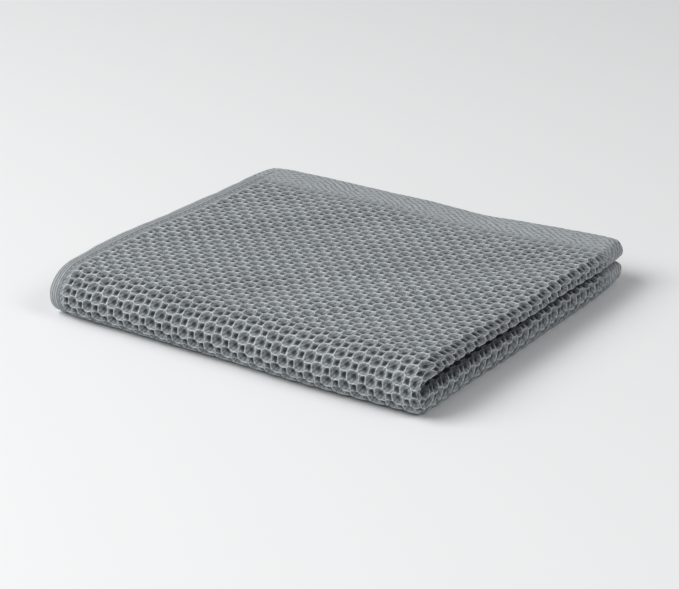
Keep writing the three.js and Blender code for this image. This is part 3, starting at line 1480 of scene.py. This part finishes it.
    def fill(self, bench: NodeBench, given: bpy.types.Node, result: bpy.types.Node) -> None:
        """Works out the cells from the nearest middles of the two kinds, the painted shade of the slit,
        then the yarns.

        Args:
            bench: The group's bench.
            given: The node that gives the place, the size of the waffle and the reach of a small cell.
            result: The node that takes the parts of the pattern.
        """
        place, columns, rows, reach = (given.outputs[name] for name in self.inputs)
        parts = bench.node("ShaderNodeSeparateXYZ")
        bench.feed(parts.inputs[0], place)
        u, v = parts.outputs[0], parts.outputs[1]
        to_large, to_small = [], []
        for way in (bench.work(Sum.ADD, u, v), bench.work(Sum.SUBTRACT, u, v)):
            to_large.append(bench.work(Sum.SUBTRACT, way, bench.work(Sum.NEAREST, way)))
            to_small.append(bench.work(Sum.SUBTRACT, bench.work(Sum.FRACTION, way), 0.5))
        large = self._from_middle(bench, *to_large)
        small = self._from_middle(bench, *to_small)
        crest, cell = self._cells(bench, large, small, reach)
        # Painted shade in the slit: the outer face past the first fold, which lies between the folded
        # pairs, darkens over a ramp of repeats past the fold and stays at full shade over the rest of
        # the inner half, except on the hems.
        from_fold = bench.work(Sum.SUBTRACT, u, bench.work(Sum.MULTIPLY, columns, 0.5))
        painted_slit_shade = bench.ease(from_fold, *self.painted_slit_shade)

        on_side = self._outside(bench, u, columns)
        on_end = self._outside(bench, v, rows)
        inside_side = self._inside(bench, u, columns, self.side_border)
        inside_end = self._inside(bench, v, rows, self.end_border)
        inside = bench.work(Sum.MULTIPLY, inside_side, inside_end)
        inside = bench.work(Sum.MULTIPLY, inside, bench.work(Sum.SUBTRACT, 1.0, on_end))
        for name, share in (("Crest", crest), ("Cell shade", cell), ("Slit shade", painted_slit_shade)):
            bench.feed(result.inputs[name], bench.work(Sum.MULTIPLY, share, inside))
        bench.feed(result.inputs["Hem"], bench.work(Sum.SUBTRACT, 1.0, inside))

        waffle, ribs = self._yarns(bench, place, u, v, large)
        yarn = bench.blend(on_side, waffle, ribs)
        yarn = bench.blend(on_end, yarn, self._twill(bench, place, u, v))
        bench.feed(result.inputs["Yarn"], yarn)


def new_material(
    name: str, values: dict[str, float | tuple]
) -> tuple[bpy.types.Material, NodeBench, bpy.types.Node]:
    """Starts a material.

    Args:
        name: Its name.
        values: Plain values of its shader's inputs, by their names.

    Returns:
        The material, a bench for its nodes, and its Principled shader.
    """
    material = bpy.data.materials.new(name)
    material.use_nodes = True
    shader = material.node_tree.nodes["Principled BSDF"]
    for socket, value in values.items():
        shader.inputs[socket].default_value = value
    return material, NodeBench(material.node_tree), shader


@dataclass(frozen=True)
class ClothFinish:
    """Grey cotton in a waffle weave: painted highlights on the ridges, grey walls, painted shade in the
    middles of the cells, between the yarns and in the slit, and plain hems.
    """

    # crest is a painted highlight, laid on the crests of the ridges.
    crest: tuple[float, float, float, float] = (0.61, 0.659, 0.688, 1)
    wall: tuple[float, float, float, float] = (0.255, 0.277, 0.29, 1)
    # cell is painted shade, laid in the middles of the cells.
    cell: tuple[float, float, float, float] = (0.04, 0.044, 0.047, 1)
    hem: tuple[float, float, float, float] = (0.35, 0.379, 0.397, 1)
    # gap_shade and hem_gap_shade are painted shade between the yarns of the waffle and of the hems.
    gap_shade: float = 0.55
    hem_gap_shade: float = 0.68
    yarn_round: tuple[float, float] = (0, 0.8)
    tone_range: float = 0.3
    crest_calm: float = 0.6
    # slit_shade is how dark the painted shade in the slit is.
    slit_shade: float = 0.78
    relief: float = 0.3 * MM
    crest_rise: float = 0.4
    fuzz_share: float = 0.35
    roughness: float = 0.95
    sheen: float = 0.15
    sheen_roughness: float = 0.6
    specular: float = 0.25

    def material(self, weave: WaffleWeave) -> bpy.types.Material:
        """Makes the cotton's material.

        Args:
            weave: The weave whose pattern it shows.

        Returns:
            The material.
        """
        values = {
            "Roughness": self.roughness,
            "Sheen Weight": self.sheen,
            "Sheen Roughness": self.sheen_roughness,
            "Specular IOR Level": self.specular,
        }
        material, bench, shader = new_material("grey waffle cotton", values)
        weave_map = bench.node("ShaderNodeUVMap", uv_map=WEAVE_MAP)
        places = bench.node("ShaderNodeTexCoord")
        pattern = WeaveEffect().put(
            bench,
            place=weave_map.outputs[0],
            columns=weave.columns,
            rows=weave.rows,
            reach=weave.small_reach,
        )
        fibres = FibreEffect().put(bench, place=places.outputs["Object"])

        # Over the walls' grey go the hems, the painted shade of the cells' middles and the painted
        # highlight of the ridges.
        colour = self.wall
        for name, laid in (("Hem", self.hem), ("Cell shade", self.cell), ("Crest", self.crest)):
            colour = bench.tint(pattern.outputs[name], colour, laid)
        shade = self._shade(bench, pattern, fibres.outputs["Tone"])
        colour = bench.tint(1.0, colour, shade, Laying.TIMES)
        bench.feed(shader.inputs["Base Color"], colour)

        height = bench.blend(self.fuzz_share, pattern.outputs["Yarn"], fibres.outputs["Fuzz"])
        rise = bench.work(Sum.MULTIPLY, pattern.outputs["Crest"], self.crest_rise)
        normals = bench.bump(bench.work(Sum.ADD, height, rise), self.relief)
        bench.feed(shader.inputs["Normal"], normals)
        return material

    def _shade(self, bench: NodeBench, pattern: bpy.types.Node, fibre_tone: Feed) -> Output:
        """Works out the painted shade between the yarns and in the slit, and the uneven tone of the
        flecks.

        Args:
            bench: The material's bench.
            pattern: The node of the weave's pattern.
            fibre_tone: The uneven tone of the fibres.

        Returns:
            The output that holds the shade as a grey.
        """
        # Painted shade between the yarns, kept lighter on the crests.
        gap = bench.blend(pattern.outputs["Hem"], 1 - self.gap_shade, 1 - self.hem_gap_shade)
        shade = bench.ease(pattern.outputs["Yarn"], *self.yarn_round, gap, 1)
        calm = bench.work(Sum.MULTIPLY, pattern.outputs["Crest"], self.crest_calm)
        shade = bench.blend(calm, shade, 1.0)
        # Painted shade in the slit.
        painted_slit_shade = bench.work(Sum.MULTIPLY, pattern.outputs["Slit shade"], self.slit_shade)
        shade = bench.work(Sum.MULTIPLY, shade, bench.work(Sum.SUBTRACT, 1.0, painted_slit_shade))
        least, most = 1 - self.tone_range / 2, 1 + self.tone_range / 2
        tone = bench.ease(fibre_tone, *NOISE_SPREAD, least, most)
        level = bench.work(Sum.MULTIPLY, shade, tone)
        grey = bench.node("ShaderNodeCombineColor")
        for socket in grey.inputs[:3]:
            bench.feed(socket, level)
        return grey.outputs[0]


@dataclass(frozen=True)
class ThreadFinish:
    """Grey cotton sewing thread, a little lighter than the cloth."""

    colour: tuple[float, float, float, float] = (0.36, 0.385, 0.395, 1)
    dark: tuple[float, float, float, float] = (0.3, 0.322, 0.332, 1)
    relief: float = 0.05 * MM
    roughness: float = 0.8
    specular: float = 0.3

    def material(self) -> bpy.types.Material:
        """Makes the thread's material.

        Returns:
            The material.
        """
        values = {"Roughness": self.roughness, "Specular IOR Level": self.specular}
        material, bench, shader = new_material("grey sewing thread", values)
        places = bench.node("ShaderNodeTexCoord")
        fibres = FibreEffect().put(bench, place=places.outputs["Object"])
        tone = bench.ease(fibres.outputs["Fuzz"], *NOISE_SPREAD)
        bench.feed(shader.inputs["Base Color"], bench.tint(tone, self.dark, self.colour))
        bench.feed(shader.inputs["Normal"], bench.bump(fibres.outputs["Fuzz"], self.relief))
        return material


def direction(azimuth: float, elevation: float) -> Vector:
    """Direction from the object towards a place round it.

    Args:
        azimuth: Degrees round the object, with 0 in front of it at -Y and 90 at +X.
        elevation: Degrees above the horizon.

    Returns:
        The direction, one unit long.
    """
    turn, rise = math.radians(azimuth), math.radians(elevation)
    flat = math.cos(rise)
    return Vector((math.sin(turn) * flat, -math.cos(turn) * flat, math.sin(rise)))


@dataclass(frozen=True)
class SoftLight:
    """A square soft light, by where it stands round the cloth, its size and its power."""

    name: str
    azimuth: float
    elevation: float
    distance: float
    size: float
    power: float

    def build(self, centre: Vector) -> None:
        """Makes the light.

        Args:
            centre: The place that it is turned to.
        """
        lamp = bpy.data.lights.new(self.name, "AREA")
        lamp.shape = "SQUARE"
        lamp.size = self.size
        lamp.energy = self.power
        light = bpy.data.objects.new(self.name, lamp)
        towards = direction(self.azimuth, self.elevation)
        light.location = centre + towards * self.distance
        light.rotation_mode = "QUATERNION"
        light.rotation_quaternion = towards.to_track_quat("Z", "Y")
        bpy.context.scene.collection.objects.link(light)


@dataclass(frozen=True)
class Viewpoint:
    """The camera, which looks at the cloth from the side that shows the folded front corner."""

    azimuth: float = 34.0
    elevation: float = 23.7
    distance: float = 0.965
    lens: float = 146.0
    sensor: float = 36.0
    clip_factor: float = 100
    aim_up: float = 1.4 * MM
    aim_right: float = -0.5 * MM

    def build(self, base: Vector) -> None:
        """Makes the camera and aims it.

        Args:
            base: The middle of the resting face.
        """
        lens = bpy.data.cameras.new("camera")
        lens.lens = self.lens
        lens.sensor_width = self.sensor
        lens.clip_start = self.distance / self.clip_factor
        lens.clip_end = self.distance * self.clip_factor
        camera = bpy.data.objects.new("camera", lens)
        back = direction(self.azimuth, self.elevation)
        turn = back.to_track_quat("Z", "Y")
        aim = base + turn @ Vector((self.aim_right, self.aim_up, 0))
        camera.location = aim + back * self.distance
        camera.rotation_mode = "QUATERNION"
        camera.rotation_quaternion = turn
        bpy.context.scene.collection.objects.link(camera)
        bpy.context.scene.camera = camera


@dataclass(frozen=True)
class Studio:
    """A pale floor, a pale room and soft lights."""

    floor_size: float = 8.0
    floor_drop: float = 0.05 * MM
    floor_colour: tuple[float, float, float, float] = (0.86, 0.87, 0.875, 1)
    floor_roughness: float = 0.9
    room_colour: tuple[float, float, float, float] = (1.0, 1.0, 1.0, 1)
    room_strength: float = 0.25
    viewpoint: Viewpoint = Viewpoint()
    lights: tuple[SoftLight, ...] = (
        SoftLight("key light", azimuth=-42, elevation=46, distance=1.4, size=1.0, power=18.9),
        SoftLight("side light", azimuth=88, elevation=42, distance=1.3, size=0.5, power=3.3),
    )

    def _lay_floor(self, base: Vector) -> None:
        """Makes the floor.

        Args:
            base: The middle of the resting face.
        """
        sheet = bmesh.new()
        at = Matrix.Translation((base.x, base.y, base.z - self.floor_drop))
        bmesh.ops.create_grid(sheet, x_segments=1, y_segments=1, size=self.floor_size / 2, matrix=at)
        mesh = finished_mesh("floor", sheet)
        values = {"Base Color": self.floor_colour, "Roughness": self.floor_roughness}
        mesh.materials.append(new_material("pale floor", values)[0])
        floor = in_scene(mesh)

    def _light_room(self) -> None:
        """Makes the even light of the room, and leaves the tones as they are worked out."""
        room = bpy.data.worlds.new("pale room")
        room.use_nodes = True
        background = room.node_tree.nodes["Background"]
        background.inputs["Color"].default_value = self.room_colour
        background.inputs["Strength"].default_value = self.room_strength
        bpy.context.scene.world = room
        bpy.context.scene.view_settings.view_transform = "Standard"

    def build(self) -> None:
        """Makes the floor, the room's light, the lamps and the camera."""
        low, high = cad_bounds
        middle = (low + high) / 2
        base = Vector((middle.x, middle.y, low.z))
        self._lay_floor(base)
        self._light_room()
        for light in self.lights:
            light.build(middle)
        self.viewpoint.build(base)


def main() -> None:
    """Builds the cloth, its stitches and the studio, and reports each piece."""
    logging.basicConfig(level=logging.INFO, format="%(name)s: %(message)s")
    form = FoldedForm()
    side_hem, end_hem = Hem(width=5 * MM, flat_steps=4), Hem(width=13 * MM, flat_steps=12)
    weave = WaffleWeave.between_hems(form, side_hem, end_hem)
    folded = FoldedCloth(form, side_hem, end_hem, weave)
    cloth = folded.build(ClothFinish())
    stitches = HemStitches(folded).build(ThreadFinish())
    for piece in (cloth, stitches):
        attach(piece, BODY)
        triangles = sum(len(polygon.vertices) - 2 for polygon in piece.data.polygons)
        log.info("%s: %d triangles", piece.name, triangles)
    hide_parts(CLOTH_NODE)
    Studio().build()


if __name__ == "__main__":
    main()
